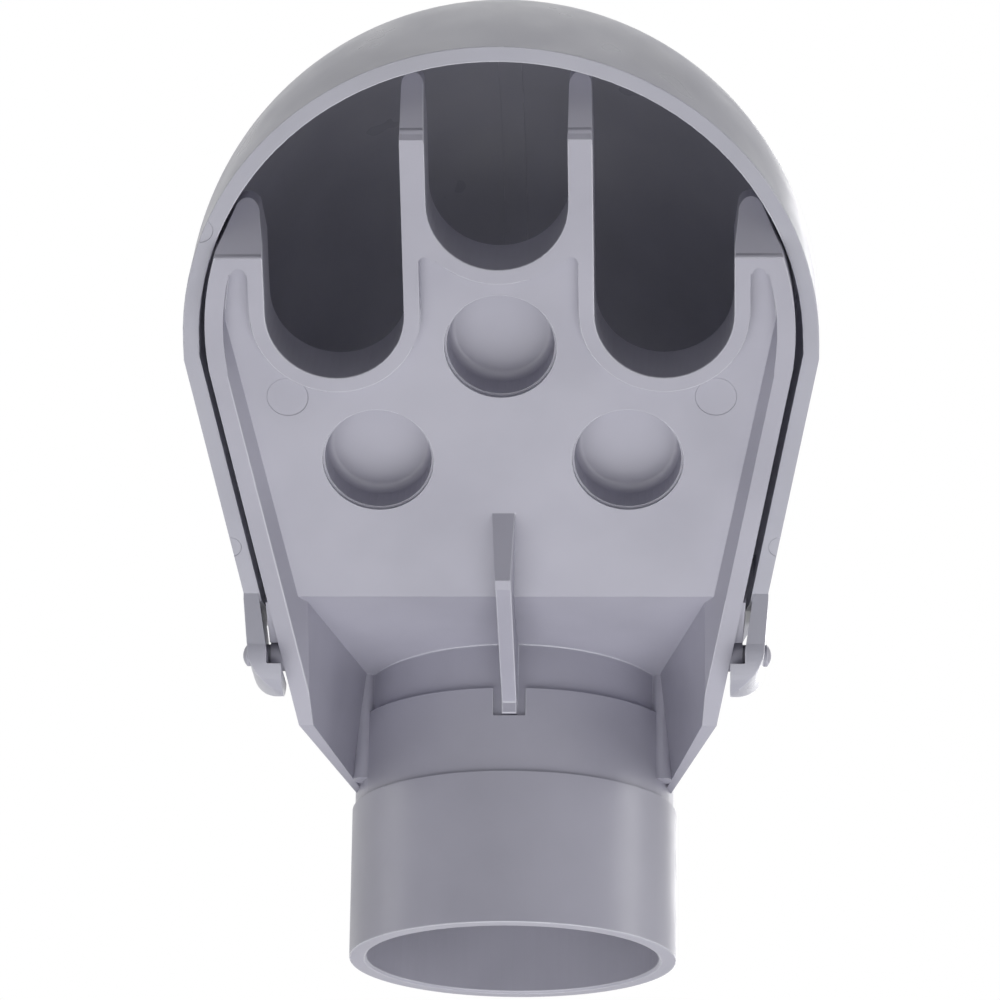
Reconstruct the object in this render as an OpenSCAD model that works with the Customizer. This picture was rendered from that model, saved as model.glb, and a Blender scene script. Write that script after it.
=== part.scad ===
// Service entrance weatherhead for rigid plastic conduit.
// Two mouldings: a body with the conduit socket, the sloping face with its
// wire slots and the pivot pins, and a domed hood that tips back on the pins.
// Millimetres. Z runs up the conduit axis, the face looks toward -Y, and the
// origin is on the socket axis in the plane of the socket rim.
// Inside face() the axes are x, t (up along the face) and w (outward from it).

/* [Conduit socket] */
// Inside radius of the conduit socket
socket_r = 30.35; // [30.2:0.05:30.6]
// Outside radius of the socket collar
collar_r = 34.0; // [33.8:0.1:34.3]
// Height of the collar
collar_h = 31.6; // [29:0.2:32]
// Depth of the socket up to its stop
socket_depth = 38; // [35:1:42]
// Radius of the wire way above the stop
throat_r = 28.6; // [27:0.2:29]
// Lead-in at the socket mouth
mouth_chamfer = 0.5; // [0.3:0.1:0.6]

/* [Neck] */
// Radius of the sleeve above the collar
sleeve_r = 33.4; // [33.2:0.1:33.6]
// Height at which the sleeve steps in
sleeve_top = 49.4; // [48.6:0.2:50]
// Radius of the neck above the step
neck_r = 32.4; // [32.2:0.1:32.6]
// Height of the open top of the neck
neck_top = 70; // [68:0.5:71]
// Width of the relief notch under the rib
notch_w = 6.6; // [6:0.2:7.2]
// Depth of the relief notch below the step
notch_h = 5.9; // [5:0.1:6.5]

/* [Head] */
// Radius of the rounded top of the head
head_r = 57.5; // [57.1:0.1:57.7]
// Distance up the face to the centre of that rounding
head_t = 143.5; // [143.2:0.1:143.8]
// Thickness of the side walls at their front edge
edge_wall = 3.6; // [3.3:0.1:4]
// Depth of the side and slot walls
wall_depth = 12.5; // [11.5:0.5:13.5]
// Thickness of the face plate and the ceiling
plate_wall = 3; // [2.6:0.1:3.3]
// Depth of the face below the wall edges, at the bend
recess_low = 3.5; // [3.3:0.1:3.8]
// Depth of the face below the wall edges, at the slots
recess_high = 2.9; // [2.6:0.1:3.2]

/* [Wire slots] */
// Radius of the outer slots
slot_r = 13.55; // [13.3:0.05:13.7]
// Sideways distance to the outer slots
slot_x = 32.05; // [31.9:0.05:32.2]
// Distance up the face to the centre of the outer slot bottoms
slot_t = 148; // [147.7:0.1:148.3]
// Radius of the middle slot
mid_slot_r = 13.7; // [13.5:0.05:13.8]
// Distance up the face to the centre of the middle slot bottom
mid_slot_t = 171.1; // [170.8:0.1:171.4]
// Wall around the slot bottoms
slot_wall = 3.1; // [2.9:0.1:3.3]
// Distance up the face to the tips of the two middle posts
post_top = 194.6; // [193.8:0.1:195]
// Distance up the face to the tips of the two outer horns
horn_top = 169.0; // [168.4:0.1:169.6]

/* [Knockouts and rib] */
// Radius of the knockout cups
cup_r = 11.0; // [10.8:0.1:11.2]
// Depth of the knockout cups
cup_depth = 8; // [7:0.5:8.5]
// Sideways distance to the lower cups
cup_x = 24.7; // [24.4:0.1:25]
// Distance up the face to the lower cups
cup_low_t = 115.1; // [114.6:0.1:115.6]
// Distance up the face to the upper cup
cup_high_t = 139.8; // [139.4:0.1:140.2]
// Thickness of the stiffening rib
rib_w = 3.6; // [3.2:0.1:4]

/* [Pivot] */
// Distance up the face to the pivot axis
pivot_t = 71.2; // [71:0.1:71.4]
// Position of the pivot axis out from the face datum
pivot_w = -1.4; // [-1.6:0.1:-1.2]
// Radius of the moulded pivot pins
pin_r = 2.2; // [2:0.05:2.3]
// Running clearance of a pin in its hole
pin_clearance = 0.08; // [0.05:0.01:0.1]
// Distance from the middle to the tip of a pin
pin_reach = 53.3; // [53.1:0.1:53.6]
// Radius of the rounded ends of the hood arms
hub_r = 8.3; // [8.1:0.1:8.5]

/* [Hood] */
// Outside radius of the hood at its rim
hood_r = 62.2; // [62.1:0.05:62.4]
// Distance up the face to the centre of the hood rim
hood_t = 140.2; // [140.1:0.05:140.3]
// Wall of the hood
hood_wall = 3.2; // [3:0.1:3.4]
// Extra length of the dome, front to back
dome_stretch = 17.8; // [17:0.2:18.6]
// Reach of the hood behind the conduit axis
hood_back = 44; // [43.5:0.5:45]
// Radius of the hood's curved back
back_r = 58; // [57:0.5:60]
// Height of the skirt edge at the back
skirt_back = 68; // [67:0.5:69]
// Height of the skirt edge beside the arms
skirt_front = 60; // [59:0.5:61]

/* [Hidden] */
$fn = 96;
big = 400;
front_w = 2;                      // plane of the front edges
back_w = front_w - wall_depth;    // plane of the slot backs
rim_w = -1;                       // plane of the hood rim
dome_w = -11.8;                   // where the hood starts to round over
roof_w = -45;                     // where the hood sides start to round in
flank = 0.2634;                   // sideways run of the body flanks per mm of Y
flank_x = 31.3;                   // body flank, outside, at Y = 0
hood_taper = 0.18625;             // sideways run of the hood flanks per mm of t
hood_x = 36.65;                   // hood flank, outside, at t = 0
bend_t = 84.57;                   // the face meets the ceiling
bend = yz(bend_t, front_w - recess_low);
ceil_rise = -0.073;               // fall of the ceiling toward the neck
post_x = (slot_x - slot_r + mid_slot_r) / 2;
post_w = slot_x - slot_r - mid_slot_r;
tip_r = 2.15;                     // rounding of the post tips
horn_r = 2.5;                     // rounding of the horn tips
horn_x = 48.85;
knee = meet(yz(80, plate_w(80) - plate_wall), yz(100, plate_w(100)) - yz(80, plate_w(80)));
pivot = yz(pivot_t, pivot_w);
arm_x = 52.6;                     // outside of the arms, where they leave the hood
arm_lean = 0.75;                  // how far they lean in by the pivot
arm_in = 49.6;                    // inside of the arms, at the top
lip_x = 45;                       // inner end of the lip below the boss
lip_top = pivot[1] - 3.8;
boss_r = 3.2;                     // boss on the body round each pin
boss_x = 47.5;
grey = [0.66, 0.66, 0.70];

// how far out from the datum the face lies, at t
function plate_w(t) = front_w - recess_low + (t - bend_t) * (recess_low - recess_high) / 60;
// height of the underside of the ceiling, at y
function ceiling(y) = bend[1] + ceil_rise * (y - bend[0]);
// where the back of the face meets the top of the ceiling
function meet(p, d) = p + d * (ceiling(p[0]) + plate_wall - p[1]) / (d[1] - ceil_rise * d[0]);
// [y, z] of a point given along and out from the face
function yz(t, w) = [-(t + w) / sqrt(2), (t - w) / sqrt(2)];

module face() { rotate([135, 0, 0]) children(); }
// a side profile, drawn in [y, z] or in [t, w], swept along X
module sweep(half) { rotate([90, 0, 90]) translate([0, 0, -half]) linear_extrude(2 * half) children(); }
module sweep_to(a, b) { rotate([90, 0, 90]) translate([0, 0, a]) linear_extrude(b - a) children(); }
module both() { children(); mirror([1, 0, 0]) children(); }

// Space on the +n side of the plane through p.
module beyond(p, n) {
  translate(p) rotate([0, acos(n[2] / norm(n)), atan2(n[1], n[0])])
    translate([-big / 2, -big / 2, 0]) cube(big);
}

// ---------------------------------------------------------------- body

module slot2d(x, t, r) {
  translate([x, t]) circle(r);
  translate([x - r, t]) square([2 * r, 70]);
}
module slots2d() {
  slot2d(0, mid_slot_t, mid_slot_r);
  slot2d(slot_x, slot_t, slot_r);
  slot2d(-slot_x, slot_t, slot_r);
}
module slot_walls2d() {
  slot2d(0, mid_slot_t, mid_slot_r + slot_wall);
  slot2d(slot_x, slot_t, slot_r + slot_wall);
  slot2d(-slot_x, slot_t, slot_r + slot_wall);
  // the webs that close the grooves beside the slots
  for (s = [-1, 1]) {
    difference() {
      translate([s * 15, 164.5]) square([6, 11], center = true);
      translate([s * 14.2, 159]) circle(1.2);
    }
    difference() {
      translate([s * 52, 163]) square([10, 13], center = true);
      translate([s * 50.4, 156.5]) circle(1.3);
    }
  }
}
// Round-topped head outline; the flanks come from planes.
module head2d(inset) {
  translate([0, head_t]) circle(head_r - inset);
  translate([-head_r + 0.5 + inset, -80]) square([2 * (head_r - 0.5 - inset), 220]);
}
// Outlines that the posts and horns rise to, with rounded tips.
module tips2d() {
  translate([-60, 40]) square([120, 119.6]);
  translate([-20, 150]) square([40, mid_slot_t - 150]);
  for (s = [-1, 1]) {
    polygon([[s * (post_x - post_w / 2 - 0.1), 150], [s * (post_x + post_w / 2 + 0.1), 150], [s * (post_x + post_w / 2 + 0.1), 180],
             [s * (post_x + tip_r), post_top - tip_r], [s * (post_x - tip_r), post_top - tip_r], [s * (post_x - post_w / 2 - 0.1), 180]]);
    translate([s * post_x, post_top - tip_r]) circle(tip_r);
    polygon([[s * 45, 150], [s * 58, 150], [s * 55.5, 159.7], [s * (horn_x + horn_r - 0.1), horn_top - horn_r + 0.8],
             [s * (horn_x - horn_r), horn_top - horn_r], [s * 45.4, 160]]);
    translate([s * horn_x, horn_top - horn_r]) circle(horn_r);
  }
}

// Room below the ceiling and in front of the face, between the walls.
module front_space() {
  intersection() {
    sweep(60) polygon([[10, ceiling(10)], bend, yz(168, plate_w(168)), yz(168, 40), yz(0, 60), [10, 0]]);
    face() translate([0, 0, -70]) linear_extrude(130) difference() {
      head2d(edge_wall);
      slot_walls2d();
    }
    // inner wall faces, flared toward the front edge
    difference() {
      translate([-60, -200, -10]) cube([120, 220, 200]);
      for (s = [-1, 1]) intersection() {
        beyond([s * 34.25, 0, 0], [s, 0.2397, 0.1256]);
        face() beyond([s * 44.5, 88, front_w], [s, -0.19, -0.61]);
      }
    }
  }
}

// Hollow behind the face and above the ceiling.
module rear_space() {
  intersection() {
    sweep(60) polygon([[10, ceiling(10) + plate_wall], knee, yz(190, plate_w(190) - plate_wall), yz(190, -80), [10, 200]]);
    difference() {
      face() translate([0, 0, -90]) linear_extrude(110) difference() {
        head2d(edge_wall);
        slot_walls2d();
      }
      for (s = [-1, 1]) beyond([s * (flank_x - edge_wall), 0, 0], [s, flank, 0]);
    }
  }
}

module head() {
  difference() {
    union() {
      // sloping slab that holds the slots and the posts
      difference() {
        face() translate([0, 0, back_w]) linear_extrude(wall_depth)
          difference() {
            intersection() { head2d(0); tips2d(); }
            slots2d();
          }
        translate([-60, -120, 20]) cube([120, 120, 39]);
        // the posts and the horns slope back near their tips
        translate([-20, -160, 100]) cube([40, 160 - 186.5 / sqrt(2), 80]);
        for (s = [-1, 1]) translate([s * 57.5 - 12.6, -160, 100]) cube([25.2, 160 - 162 / sqrt(2), 80]);
      }
      // ceiling and side walls from the bend down to the sleeve
      sweep(60) polygon([[-6, 34.4], yz(57, front_w), [-knee[1] - 1.5 - front_w * sqrt(2), knee[1] + 1.5],
                         [knee[0], knee[1] + 1.5], [-6, ceiling(-6) + plate_wall + 1.5]]);
    }
    for (s = [-1, 1]) beyond([s * flank_x, 0, 0], [s, flank, 0]);
    front_space();
    rear_space();
  }
}

module knockout_cups(outer) {
  for (p = [[-cup_x, cup_low_t], [cup_x, cup_low_t], [0, cup_high_t]])
    face() translate([p[0], p[1], 0]) cup(outer);
}
// A round cup sunk behind the face, with a rounded floor.
module cup(outer) {
  top = front_w - (recess_low + recess_high) / 2;
  if (outer) translate([0, 0, top - cup_depth - 2]) cylinder(h = cup_depth + 1.2, r = cup_r + 1.6);
  else translate([0, 0, top - cup_depth]) {
    rotate_extrude() {
      square([cup_r - 2, 20]);
      translate([0, 1.6]) square([cup_r - 0.4, 20]);
      translate([cup_r - 2, 1.6]) circle(1.6);
      translate([0, cup_depth - 0.9]) square([cup_r, 4]);
    }
  }
}

// Gusset from the face down to the neck, thinner toward its free edge.
module rib() {
  foot = yz(103.3, plate_w(103.3));
  h = rib_w / 2;
  intersection() {
    sweep(4) polygon([foot, [foot[0] + 0.2, 60], [-70.3, 58.6], [-34.3, 46], [-34, 43.8], [-30, 43.8],
                      [-30, 62], [-57, 62.5], yz(103.3, -4)]);
    rotate([90, 0, 0]) linear_extrude(100)
      polygon([[-h - 0.5, 80], [-h - 0.5, 74.5], [0.2 - h, 60], [0.3 - h, 40], [h - 0.3, 40], [h - 0.2, 60], [h + 0.5, 74.5], [h + 0.5, 80]]);
  }
}

module pins() {
  // boss between the wall and the arm
  both() sweep_to(41.5, boss_x) translate(pivot) circle(boss_r);
  // pin with a domed end
  both() translate([0, pivot[0], pivot[1]]) rotate([0, 90, 0]) rotate_extrude() {
    translate([0, 42]) square([pin_r, pin_reach - 42.9]);
    intersection() {
      translate([0, pin_reach - 3.2]) circle(3.2);
      translate([0, pin_reach - 2]) square([pin_r, 3]);
    }
  }
  // wedge-shaped pad that steadies the arm
  both() intersection() {
    sweep_to(40, 50) polygon([yz(75.4, 1), yz(84.5, 1), yz(84.5, -4.5), yz(75.4, -4.5)]);
    rotate([90, 0, 0]) linear_extrude(100)
      polygon([[44, 40], [47.3, 50], [48.3, 62], [48.3, 70], [44, 70]]);
    beyond([flank_x - 1, 0, 0], [1, flank, 0]);
  }
}

module body() {
  color(grey) difference() {
    union() {
      difference() {
        union() {
          cylinder(h = collar_h, r = collar_r);
          cylinder(h = sleeve_top, r = sleeve_r);
        }
        // relief notch round the foot of the rib
        difference() {
          translate([-notch_w / 2, -40, sleeve_top - notch_h]) cube([notch_w, 20, 20]);
          cylinder(h = 100, r = neck_r - 0.02);
        }
      }
      cylinder(h = neck_top, r = neck_r);
      head();
      knockout_cups(true);
      rib();
      pins();
      // fillet beads between the neck and the side walls
      both() translate([30.9, -12.9, 35.2]) cylinder(h = 25, r = 2.3);
    }
    knockout_cups(false);
    translate([0, 0, -1]) cylinder(h = socket_depth + 1, r = socket_r);
    translate([0, 0, -0.01]) cylinder(h = mouth_chamfer + 0.01, r1 = socket_r + mouth_chamfer, r2 = socket_r);
    translate([0, 0, 10]) cylinder(h = 90, r = throat_r);
  }
}

// ---------------------------------------------------------------- hood

// Dome that blends the round rim into a sloping roof, shrunk by "i".
module dome(i, front) {
  r = hood_r - i;
  crown_t = hood_t - dome_stretch;
  face() {
    translate([0, 0, dome_w]) linear_extrude(front - dome_w) {
      translate([0, hood_t]) circle(r);
      translate([-r, -60]) square([2 * r, hood_t + 60]);
    }
    translate([0, crown_t, dome_w]) rotate([0, 90, 0]) rotate_extrude(angle = 90) intersection() {
      union() {
        translate([dome_stretch, 0]) circle(r);
        translate([0, -r]) square([dome_stretch, 2 * r]);
      }
      translate([0, -80]) square([160, 160]);
    }
    translate([0, crown_t, 0]) rotate([90, 0, 0]) linear_extrude(crown_t + 60) {
      intersection() {
        translate([0, dome_w - dome_stretch]) circle(r);
        translate([-90, dome_w - dome_stretch - 90]) square([180, 90]);
      }
      translate([-r, dome_w - dome_stretch]) square([2 * r, dome_stretch]);
    }
  }
}

// Tapering sides that round in toward the roof at the back.
module sides(i) {
  function half(t) = hood_x + hood_taper * t - i * 1.02;
  face() {
    translate([0, 0, roof_w]) linear_extrude(100)
      polygon([[-half(-60), -60], [half(-60), -60], [half(240), 240], [-half(240), 240]]);
    translate([0, 0, roof_w]) rotate([-90, 0, 0]) rotate_extrude(angle = 180)
      polygon([[0, -60], [half(-60), -60], [half(240), 240], [0, 240]]);
  }
}

// Curved back and the rounding between back and roof.
module back(i) {
  c = hood_back - back_r;
  translate([0, c, -50]) cylinder(h = 400, r = back_r - i);
  translate([-100, c - 300, -50]) cube([200, 300, 400]);
}
module back_round(i) {
  r = 30.3;
  y = hood_back - 30;
  z = 73.4;
  sweep(90) {
    polygon([[y, z], [y + 200, z + 200], [-300, z + 200], [-300, -60], [y + r - i, -60], [y + r - i, z]]);
    translate([y, z]) circle(r - i);
  }
}

module shell(i, front) {
  intersection() {
    dome(i, front);
    sides(i);
    back(i);
    back_round(i);
  }
}

// Strap beside the body, with a rounded end that turns in under the boss.
module arm() {
  crease = yz(85.5, rim_w);
  difference() {
    intersection() {
      sweep_to(40, 60) {
        polygon([crease, [pivot[0] - hub_r, pivot[1]], [pivot[0] + hub_r, pivot[1]],
                 [pivot[0] + hub_r + 1, 64.5], [crease[0] + 2, 70]]);
        translate(pivot) circle(hub_r);
      }
      // as seen from the front: leaning in toward a round end
      rotate([90, 0, 0]) linear_extrude(100) difference() {
        union() {
          polygon([[40, 72], [arm_x, 72], [arm_x, 60.2], [arm_x - arm_lean, pivot[1]], [40, pivot[1]]]);
          intersection() {
            translate([arm_x - arm_lean - 7.9, pivot[1] - 0.5]) circle(7.9);
            translate([40, 40]) square([20, pivot[1] - 39.95]);
          }
        }
        polygon([[30, lip_top], [lip_x, lip_top], [arm_in - 1.65, lip_top], [arm_in - 1.65, 50], [arm_in, 61], [arm_in, 80], [30, 80]]);
        translate([30, 30]) square([lip_x - 30, 60]);
      }
    }
    sweep_to(40, 60) translate(pivot) circle(pin_r + pin_clearance);
  }
}

module hood() {
  color(grey) union() {
    difference() {
      shell(0, rim_w);
      shell(hood_wall, 30);
      // everything under the skirt edge
      sweep(90) polygon([[-200, skirt_front], [-52, skirt_front], [60, skirt_back + 1.5], [60, -80], [-200, -80]]);
    }
    both() arm();
    // raised band along the middle of the roof, inside
    intersection() {
      difference() {
        sweep(2.35) translate([-200, -50]) square([300, 350]);
        shell(hood_wall + 0.35, 30);
      }
      shell(0.8, rim_w - 6);
      translate([-10, -200, 75]) cube([20, 260, 200]);
    }
  }
}

body();
hood();
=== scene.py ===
# %% [markdown]
# # A service entrance weatherhead
# This file dresses the two plastic mouldings of a weatherhead, the hooded cap
# at the top of an electrical conduit. The construction comes from the packed
# model; here it gets softened edges, moulding marks, a finish and a light.

# %% Load the construction model
import bpy, math
from mathutils import Matrix, Vector
from mathutils.kdtree import KDTree


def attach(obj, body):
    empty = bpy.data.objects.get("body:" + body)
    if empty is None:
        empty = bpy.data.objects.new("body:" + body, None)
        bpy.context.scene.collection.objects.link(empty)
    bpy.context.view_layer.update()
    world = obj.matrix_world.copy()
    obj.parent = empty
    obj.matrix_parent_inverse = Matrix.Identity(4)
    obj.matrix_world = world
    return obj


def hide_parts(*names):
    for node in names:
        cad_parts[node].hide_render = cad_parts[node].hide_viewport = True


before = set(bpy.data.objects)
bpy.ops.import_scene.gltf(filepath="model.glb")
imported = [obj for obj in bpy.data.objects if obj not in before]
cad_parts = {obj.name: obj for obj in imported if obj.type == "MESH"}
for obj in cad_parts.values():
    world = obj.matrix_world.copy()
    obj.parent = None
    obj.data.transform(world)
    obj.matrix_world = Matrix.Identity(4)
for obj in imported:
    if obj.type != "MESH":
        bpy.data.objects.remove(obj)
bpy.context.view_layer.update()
MM = 0.001


# %% [markdown]
# ## Directions on the sloping face
# The face leans back at 45 degrees. It is easier to place marks on it with
# t, the distance up the face, and w, the distance out from it, so one small
# function turns (x, t, w) in millimetres into a place in metres.

# %% Places on the face
ROOT2 = math.sqrt(2)

def on_face(x, t, w):
    return Vector((x, -(t + w) / ROOT2, (t - w) / ROOT2)) * MM

FACE_OUT = Vector((0, -1, -1)).normalized()
FACE_UP = Vector((0, -1, 1)).normalized()
# where the face bends into the ceiling
BEND_T, BEND_W = 84.6, -1.5
print("bend line at", [round(v, 4) for v in on_face(0, BEND_T, BEND_W)])


# %% [markdown]
# ## Camera
# A long lens, a metre away, looks up at the part from in front and a little
# below, so that the underside of the ceiling and the wire slots both show.

# %% Camera
cam = bpy.data.objects.new("camera", bpy.data.cameras.new("camera"))
bpy.context.scene.collection.objects.link(cam)
cam.data.sensor_width = 36
cam.data.lens = 175.41
right = Vector((0.999144, 0.0392125, 0.0131429))
up = Vector((0.0000845, -0.3197305, 0.9475085))
ahead = Vector((-0.0413564, 0.9466968, 0.3194603))
turn = Matrix((right, up, -ahead)).transposed()
cam.matrix_world = Matrix.Translation((0.039283, -0.989647, -0.232846)) @ turn.to_4x4()
cam.data.clip_end = 20
bpy.context.scene.camera = cam
bpy.context.scene.view_settings.view_transform = "Standard"
print("camera", [round(v, 3) for v in cam.location])


# %% [markdown]
# ## Colours and finishes
# Both pieces are rigid PVC, injection moulded in one light grey with a trace
# of violet. Moulded PVC is satin: the steel of the mould leaves a very fine
# grain, and the melt leaves faint clouds where it flowed and cooled. Where a
# round pin pushed the piece out of the mould it leaves a shallow disc, and
# where two parts of the mould met there is a low ridge of flash. Both marks
# are drawn in the surface at their real places, rather than cut in the mesh,
# because they are only a tenth or two of a millimetre deep. Colours are
# written as sRGB hex values and turned to linear by one function.

# %% Helpers for materials
def linear(hex_colour):
    parts = [int(hex_colour[i:i + 2], 16) / 255 for i in (1, 3, 5)]
    return [p / 12.92 if p <= 0.04045 else ((p + 0.055) / 1.055) ** 2.4 for p in parts] + [1.0]

def node(tree, kind, settings=None, inputs=None, links=None):
    """Adds one node, with its settings, its fixed inputs and its links."""
    n = tree.nodes.new(kind)
    for key, value in (settings or {}).items():
        setattr(n, key, value)
    for key, value in (inputs or {}).items():
        n.inputs[key].default_value = value
    for key, socket in (links or {}).items():
        tree.links.new(socket, n.inputs[key])
    return n

def maths(tree, operation, *operands):
    """One sum; each operand is a number or the output of another node."""
    n = node(tree, "ShaderNodeMath", {"operation": operation})
    for i, operand in enumerate(operands):
        if isinstance(operand, bpy.types.NodeSocket):
            tree.links.new(operand, n.inputs[i])
        else:
            n.inputs[i].default_value = operand
    return n.outputs[0]

print("light grey PVC is", [round(c, 3) for c in linear("#A8A7B4")[:3]], "linear")

# %% Helpers for patterns in the surface
def fade(tree, distance, near, far, at_near, at_far):
    """Goes smoothly from one value to another, between two distances in mm."""
    return node(tree, "ShaderNodeMapRange", {"interpolation_type": "SMOOTHSTEP"},
                {"From Min": near * MM, "From Max": far * MM, "To Min": at_near, "To Max": at_far},
                {"Value": distance}).outputs[0]

def noise(tree, place, scale, detail, roughness=0.5):
    """Soft lumps, this many to the metre."""
    return node(tree, "ShaderNodeTexNoise",
                inputs={"Scale": scale, "Detail": detail, "Roughness": roughness},
                links={"Vector": place}).outputs["Fac"]

def bump(tree, height, strength, depth, below=None):
    """A skin this many mm deep, on top of the one below it."""
    links = {"Height": height}
    if below is not None:
        links["Normal"] = below
    return node(tree, "ShaderNodeBump", inputs={"Strength": strength, "Distance": depth * MM},
                links=links).outputs[0]

# %% Marks of the mould
# how far, in mm, the edge of a disc is spread to either side, and a ridge's half width
DISC_EDGE = 0.12
RIDGE_HALF = 0.55
# a place this far out from the face, in mm, counts as its front
FRONT = 0.2

def disc_marks(tree, place, discs):
    """Shallow discs in the skin, each given as (x, t, w, radius) in mm."""
    total = None
    for x, t, w, radius in discs:
        away = node(tree, "ShaderNodeVectorMath", {"operation": "DISTANCE"},
                    {1: on_face(x, t, w)}, {0: place}).outputs["Value"]
        disc = fade(tree, away, radius - DISC_EDGE, radius + DISC_EDGE, -1, 0)
        total = disc if total is None else maths(tree, "ADD", total, disc)
    return total

def distance_along(tree, place, direction):
    return node(tree, "ShaderNodeVectorMath", {"operation": "DOT_PRODUCT"},
                {1: direction}, {0: place}).outputs["Value"]

def ridges(tree, place, lines):
    """Low ridges across both sides of the face: (t, x from, x to) in mm."""
    up_face = distance_along(tree, place, FACE_UP)
    in_front = maths(tree, "GREATER_THAN", distance_along(tree, place, FACE_OUT), FRONT * MM)
    side = maths(tree, "ABSOLUTE", node(tree, "ShaderNodeSeparateXYZ", links={0: place}).outputs["X"])
    humps = None
    for t, low, high in lines:
        off = maths(tree, "ABSOLUTE", maths(tree, "SUBTRACT", up_face, t * MM))
        aside = maths(tree, "COMPARE", side, (low + high) / 2 * MM, (high - low) / 2 * MM)
        hump = maths(tree, "MULTIPLY", fade(tree, off, 0, RIDGE_HALF, 1, 0), aside)
        humps = hump if humps is None else maths(tree, "ADD", humps, hump)
    return maths(tree, "MULTIPLY", humps, in_front)

print("a disc's edge is spread over", 2 * DISC_EDGE, "mm")

# %% Moulded PVC
def moulded_pvc(name, base, pale, dark, roughness, seed, discs, ridge_lines=()):
    """Rigid PVC straight from the mould: satin, faintly clouded by the flow."""
    mat = bpy.data.materials.new(name)
    mat.use_nodes = True
    tree = mat.node_tree
    bsdf = tree.nodes["Principled BSDF"]
    bsdf.inputs["IOR"].default_value = 1.53
    place = node(tree, "ShaderNodeTexCoord").outputs["Object"]
    moved = node(tree, "ShaderNodeMapping", inputs={"Location": (seed, seed * 0.7, 0)},
                 links={"Vector": place}).outputs[0]
    # flow clouds about 25 mm across, a few per cent lighter or darker
    tint = node(tree, "ShaderNodeValToRGB", links={"Fac": noise(tree, moved, 40, 3, 0.45)})
    tint.color_ramp.elements[0].position = 0.32
    tint.color_ramp.elements[0].color = linear(dark)
    tint.color_ramp.elements[1].position = 0.68
    tint.color_ramp.elements[1].color = linear(pale)
    middle = tint.color_ramp.elements.new(0.5)
    middle.color = linear(base)
    tree.links.new(tint.outputs[0], bsdf.inputs["Base Color"])
    # the sheen is patchy over some 12 mm, as the melt cooled unevenly
    rough = node(tree, "ShaderNodeMapRange",
                 inputs={"From Min": 0.3, "From Max": 0.7,
                         "To Min": roughness - 0.05, "To Max": roughness + 0.06},
                 links={"Value": noise(tree, moved, 85, 2)}).outputs[0]
    tree.links.new(rough, bsdf.inputs["Roughness"])
    # mould grain of 0.5 mm, drawn coarser than the real 0.05 mm so that it shows
    skin = bump(tree, noise(tree, moved, 2000, 2), 0.10, 0.08)
    # slow waves some 18 mm long, where thick places sank as they cooled
    skin = bump(tree, noise(tree, moved, 55, 1), 0.35, 0.4, skin)
    # an ejector pin leaves a disc 0.14 mm deep, and flash stands 0.22 mm high
    skin = bump(tree, disc_marks(tree, place, discs), 1.0, 0.14, skin)
    if ridge_lines:
        skin = bump(tree, ridges(tree, place, ridge_lines), 1.0, 0.22, skin)
    tree.links.new(skin, bsdf.inputs["Normal"])
    return mat

# %% The plastic of the two mouldings
BODY_DISCS = [(-42.1, 129, -1.06, 4.05), (42.1, 129, -1.06, 4.05)]
BODY_FLASH = [(160.2, 42, 60), (185.9, 10, 22)]
HOOD_DISCS = [(-54.7, 95.9, -1, 2.1), (54.7, 95.9, -1, 2.1), (-57.8, 164.7, -1, 2.55)]
pvc_body = moulded_pvc("moulded_pvc_light_grey", "#A8A7B4", "#ACABB8", "#A2A1AE", 0.36, 0.0,
                       BODY_DISCS, BODY_FLASH)
pvc_hood = moulded_pvc("moulded_pvc_light_grey_hood", "#A8A8B4", "#ADADB8", "#A3A3AE", 0.32, 0.31,
                       HOOD_DISCS)
# the faces on the rounded edges get a paler colour, which is a painted highlight, and a lower roughness,
# so they shine more
pvc_painted_edge_highlight = moulded_pvc("moulded_pvc_painted_edge_highlight", "#BFBFC9", "#C3C3CD", "#B9B9C4", 0.24, 0.13,
                       BODY_DISCS[:1])
print("materials:", pvc_body.name, pvc_hood.name, pvc_painted_edge_highlight.name)


# %% [markdown]
# ## Softening the edges
# A moulding never has a knife edge: the mould is rounded a few tenths of a
# millimetre at every corner, and that thin round is what catches the light.
# Each construction mesh is copied and its loose triangles are merged, then a
# bevel rounds the edges. On thin lands and in tight corners the round has to
# be narrower, or the new faces would cross each other. So each edge has its
# own weight: it starts from the width of the faces beside it, a trial bevel
# is made on a copy, and the edges near any crossed face are narrowed.

# %% Helpers that look for crossed faces
# two faces whose normals agree less than this fold back on each other
FOLDED_BACK = -0.6
# how much a face's triangles may exceed the face: a share, and square metres
AREA_SHARE, AREA_SLACK = 1.02, 2e-9

def select_only(obj):
    bpy.ops.object.select_all(action="DESELECT")
    obj.select_set(True)
    bpy.context.view_layer.objects.active = obj

def faces_by_edge(mesh):
    beside = {}
    for face in mesh.polygons:
        for key in face.edge_keys:
            beside.setdefault(key, []).append(face)
    return {key: pair for key, pair in beside.items() if len(pair) == 2}

def along(mesh, key):
    """Points each half millimetre along an edge."""
    a, b = (mesh.vertices[i].co for i in key)
    steps = max(1, int((a - b).length / (0.5 * MM)))
    return [a.lerp(b, k / steps) for k in range(steps + 1)]

def crossed_places(mesh):
    """Where neighbouring faces fold back, or a face overlaps itself."""
    mesh.calc_loop_triangles()
    area = [0.0] * len(mesh.polygons)
    for tri in mesh.loop_triangles:
        area[tri.polygon_index] += tri.area
    places = []
    for key, pair in faces_by_edge(mesh).items():
        if pair[0].normal.dot(pair[1].normal) < FOLDED_BACK:
            places += along(mesh, key)
    for face in mesh.polygons:
        if area[face.index] > AREA_SHARE * face.area + AREA_SLACK:
            places += [mesh.vertices[i].co.copy() for i in face.vertices]
    return places

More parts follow.
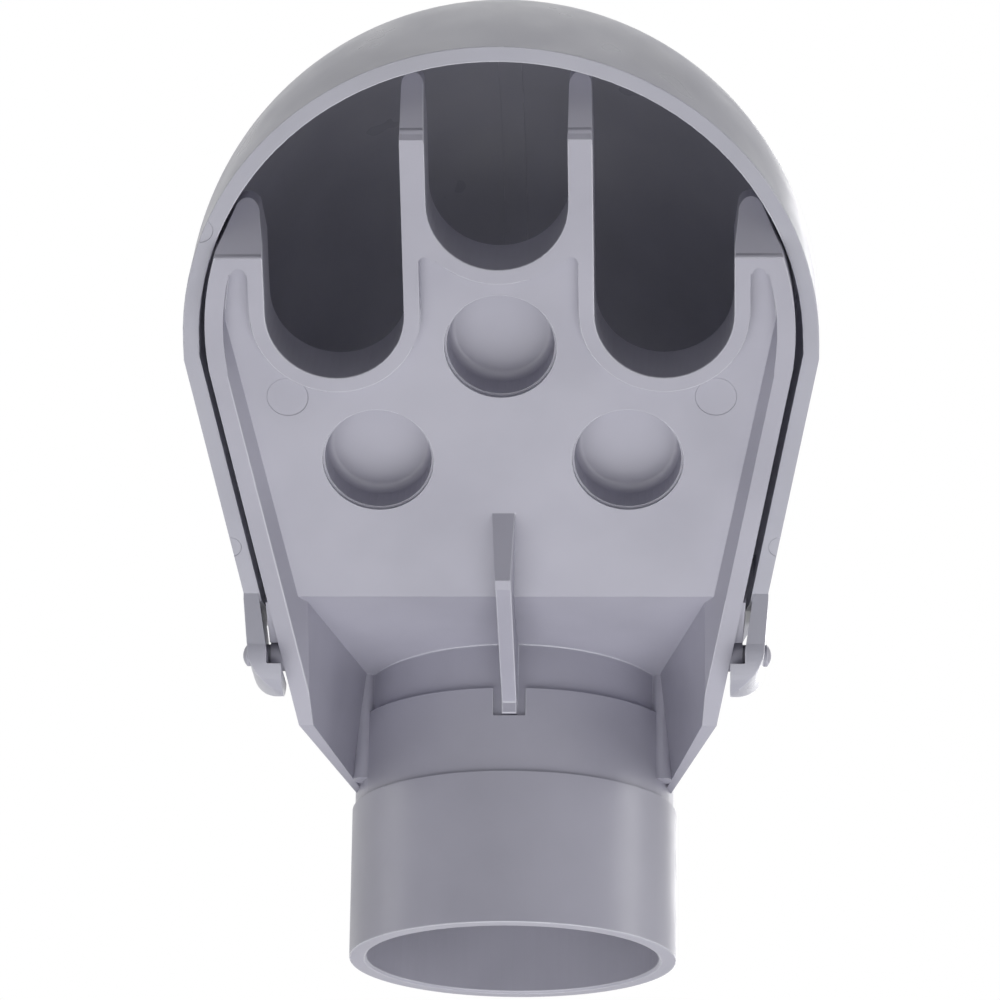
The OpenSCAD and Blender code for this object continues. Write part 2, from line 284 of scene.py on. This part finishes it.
# %% Round the edges of one mesh, as wide as each edge allows
EDGE_RADIUS = 0.25              # mm
TRIALS = 9
CORNER = math.radians(28)       # a smaller turn is part of a round, not an edge
LAND_SHARE = 0.42               # of the narrower face beside the edge
NARROWER = 0.4                  # what a failed trial leaves of a width
NARROWEST = 0.125 * MM          # a round that fails at this width or less is left out

def land(mesh, face):
    """The radius of a triangle's inner circle: half the width, where it is long."""
    outline = sum((mesh.vertices[a].co - mesh.vertices[b].co).length for a, b in face.edge_keys)
    return 2 * face.area / outline

def round_edges(obj, radius, trials):
    mesh = obj.data
    width = {}
    for key, pair in faces_by_edge(mesh).items():
        if pair[0].normal.dot(pair[1].normal) < math.cos(CORNER):
            width[key] = min(radius, LAND_SHARE * min(land(mesh, face) for face in pair))
    mesh.attributes.new("bevel_weight_edge", "FLOAT", "EDGE")
    index = {tuple(sorted(e.vertices)): e.index for e in mesh.edges}
    for trial in range(trials + 1):
        weight = mesh.attributes["bevel_weight_edge"].data
        for key, w in width.items():
            weight[index[tuple(sorted(key))]].value = w / radius
        # the last trial is the finished piece
        target = obj if trial == trials else bpy.data.objects.new("trial", mesh.copy())
        if target is not obj:
            bpy.context.scene.collection.objects.link(target)
        select_only(target)
        edge = target.modifiers.new("mould_radius", "BEVEL")
        edge.width = radius
        edge.segments = 3
        edge.limit_method = "WEIGHT"
        edge.use_clamp_overlap = False
        edge.miter_outer = "MITER_ARC"
        # the faces of the round take the second material, whose paler colour is a painted highlight
        edge.material = 1
        bpy.ops.object.modifier_apply(modifier="mould_radius")
        if target is obj:
            break
        places = crossed_places(target.data)
        bpy.data.objects.remove(target)
        near = KDTree(len(places))
        for i, place in enumerate(places):
            near.insert(place, i)
        near.balance()
        for key, w in width.items():
            if w and places and any(near.find(p)[2] < 2 * w + 0.15 * MM for p in along(mesh, key)):
                width[key] = NARROWER * w if w > NARROWEST else 0
    print("edges rounded:", sum(w > 0 for w in width.values()), "of", len(width))

# %% Keep the flats flat
SAME_PLANE = math.radians(0.25)
FACET_TURN = math.radians(4.6)  # neighbours on a round turn by less than this
SMALLEST_FLAT = 2 * MM * MM     # two square millimetres
CURVED_SHARE = 0.3              # a flat has less of its outline on a round

def keep_flats(mesh):
    """Marks the outline of every flat face as sharp, so that it shades flat."""
    beside = faces_by_edge(mesh)
    turn_of = {key: pair[0].normal.angle(pair[1].normal, 0) for key, pair in beside.items()}
    group = list(range(len(mesh.polygons)))

    def root(i):
        while group[i] != i:
            group[i] = group[group[i]]
            i = group[i]
        return i

    for key, pair in beside.items():
        if turn_of[key] < SAME_PLANE:
            group[root(pair[0].index)] = root(pair[1].index)
    area, outline = {}, {}
    for face in mesh.polygons:
        area[root(face.index)] = area.get(root(face.index), 0) + face.area
    for key, pair in beside.items():
        ends = {root(f.index) for f in pair}
        if len(ends) == 2:
            for g in ends:
                outline.setdefault(g, []).append(key)
    sharp = set()
    for g, keys in outline.items():
        length = {key: (mesh.vertices[key[0]].co - mesh.vertices[key[1]].co).length for key in keys}
        curved = sum(length[key] for key in keys if turn_of[key] < FACET_TURN)
        if area[g] > SMALLEST_FLAT and curved < CURVED_SHARE * sum(length.values()):
            sharp.update(keys)
    for edge in mesh.edges:
        if tuple(sorted(edge.vertices)) in sharp:
            edge.use_edge_sharp = True
    print("edges kept sharp round flats:", len(sharp))

# %% Copy, merge and soften one moulding
MERGE_WITHIN = 2e-6             # metres
SMOOTH_BELOW = math.radians(32)

def softened(name, cad_name, radius, material):
    obj = bpy.data.objects.new(name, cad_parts[cad_name].data.copy())
    bpy.context.scene.collection.objects.link(obj)
    select_only(obj)
    bpy.ops.object.mode_set(mode="EDIT")
    bpy.ops.mesh.select_all(action="SELECT")
    bpy.ops.mesh.remove_doubles(threshold=MERGE_WITHIN)
    bpy.ops.mesh.select_all(action="DESELECT")
    bpy.ops.object.mode_set(mode="OBJECT")
    obj.data.materials.clear()
    obj.data.materials.append(material)
    # the second material is the paler one for rounded edges, a painted highlight
    obj.data.materials.append(pvc_painted_edge_highlight)
    round_edges(obj, radius * MM, TRIALS)
    select_only(obj)
    bpy.ops.object.shade_smooth_by_angle(angle=SMOOTH_BELOW)
    keep_flats(obj.data)
    # where a round meets its bevel, the larger face decides the shading
    flat = obj.modifiers.new("flat_faces_stay_flat", "WEIGHTED_NORMAL")
    flat.keep_sharp = True
    flat.weight = 60
    bpy.ops.object.modifier_apply(modifier="flat_faces_stay_flat")
    rounded = sum(face.material_index for face in obj.data.polygons)
    print(name, "has", len(obj.data.polygons), "faces,", rounded, "of them on rounded edges")
    return obj

# %% The two mouldings
body = softened("body_moulding", "body", EDGE_RADIUS, pvc_body)
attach(body, "body")
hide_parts("body")
hood = softened("hood_moulding", "hood", EDGE_RADIUS, pvc_hood)
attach(hood, "hood")
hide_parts("hood")


# %% [markdown]
# ## Stage and light
# A pale floor far below, a white surrounding, and large soft lamps. Most of
# the light comes from below, as from a white table, and from the right, which
# makes the upright bands on the round socket. A weaker lamp on the left and
# two above keep the dome from going dark, one behind lights the back, and the
# inside stays in shade.

# %% Floor
FLOOR_Z = -0.45
FLOOR_RADIUS = 2.5

def seen_directly(tree):
    """The light path node, and 1 where the camera or a reflection looks."""
    rays = node(tree, "ShaderNodeLightPath")
    return rays, maths(tree, "MAXIMUM", rays.outputs["Is Camera Ray"], rays.outputs["Is Glossy Ray"])

bpy.ops.object.select_all(action="DESELECT")
bpy.ops.mesh.primitive_circle_add(vertices=96, radius=FLOOR_RADIUS, fill_type="NGON", location=(0, 0, 0))
floor = bpy.context.object
floor.name = "floor"
for v in floor.data.vertices:
    v.co.z = FLOOR_Z
white = bpy.data.materials.new("matt_white_paint")
white.use_nodes = True
t = white.node_tree
paint = t.nodes["Principled BSDF"]
paint.inputs["Base Color"].default_value = linear("#F2F2F2")
paint.inputs["Roughness"].default_value = 0.9
rays, seen = seen_directly(t)
behind = node(t, "ShaderNodeNewGeometry").outputs["Backfacing"]
clear = node(t, "ShaderNodeBsdfTransparent")
glow = node(t, "ShaderNodeEmission", inputs={"Color": (1, 1, 1, 1), "Strength": 0.35})
lit = node(t, "ShaderNodeMixShader", links={0: seen, 1: paint.outputs[0]})
both = node(t, "ShaderNodeAddShader", links={0: paint.outputs[0], 1: glow.outputs[0]})
t.links.new(both.outputs[0], lit.inputs[2])
out = node(t, "ShaderNodeMixShader", links={0: behind, 1: lit.outputs[0], 2: clear.outputs[0]})
t.links.new(out.outputs[0], t.nodes["Material Output"].inputs["Surface"])
floor.data.materials.append(white)
print("floor at z =", floor.data.vertices[0].co.z)

# %% Surrounding
world = bpy.data.worlds.new("white_room")
world.use_nodes = True
bpy.context.scene.world = world
t = world.node_tree
rays, seen = seen_directly(t)
seen = maths(t, "MAXIMUM", seen, rays.outputs["Is Transmission Ray"])
room = node(t, "ShaderNodeBackground", inputs={"Color": linear("#F4F4FA"), "Strength": 0.10})
plain = node(t, "ShaderNodeBackground", inputs={"Color": (1, 1, 1, 1), "Strength": 1.0})
mix = node(t, "ShaderNodeMixShader", links={0: seen, 1: room.outputs[0], 2: plain.outputs[0]})
t.links.new(mix.outputs[0], t.nodes["World Output"].inputs["Surface"])
print("surrounding ready")

# %% Lamps
def softbox(name, place, aim, size, watts, tall=None):
    lamp = bpy.data.lights.new(name, "AREA")
    lamp.energy = watts
    lamp.shape = "RECTANGLE"
    lamp.size = size
    lamp.size_y = tall or size
    obj = bpy.data.objects.new(name, lamp)
    bpy.context.scene.collection.objects.link(obj)
    obj.location = place
    obj.rotation_euler = (Vector(aim) - Vector(place)).to_track_quat("-Z", "Y").to_euler()
    obj.visible_camera = False
    return obj

middle = (0, -0.06, 0.09)
softbox("lamp_below", (0, -0.16, -0.42), middle, 0.8, 3.6)
softbox("lamp_below_front", (0, -0.9, -0.38), middle, 0.7, 1.3)
softbox("lamp_left", (-0.95, 0.0, 0.1), middle, 0.3, 1.3, 0.9)
softbox("lamp_right", (0.95, 0.0, 0.1), middle, 0.3, 2.9, 0.9)
softbox("lamp_top", (0, 0.1, 1.2), middle, 0.9, 1.3)
softbox("lamp_top_front", (0, -0.8, 0.9), middle, 0.7, 1.6)
softbox("lamp_behind", (0.3, 1.1, 0.4), middle, 0.7, 3.0)
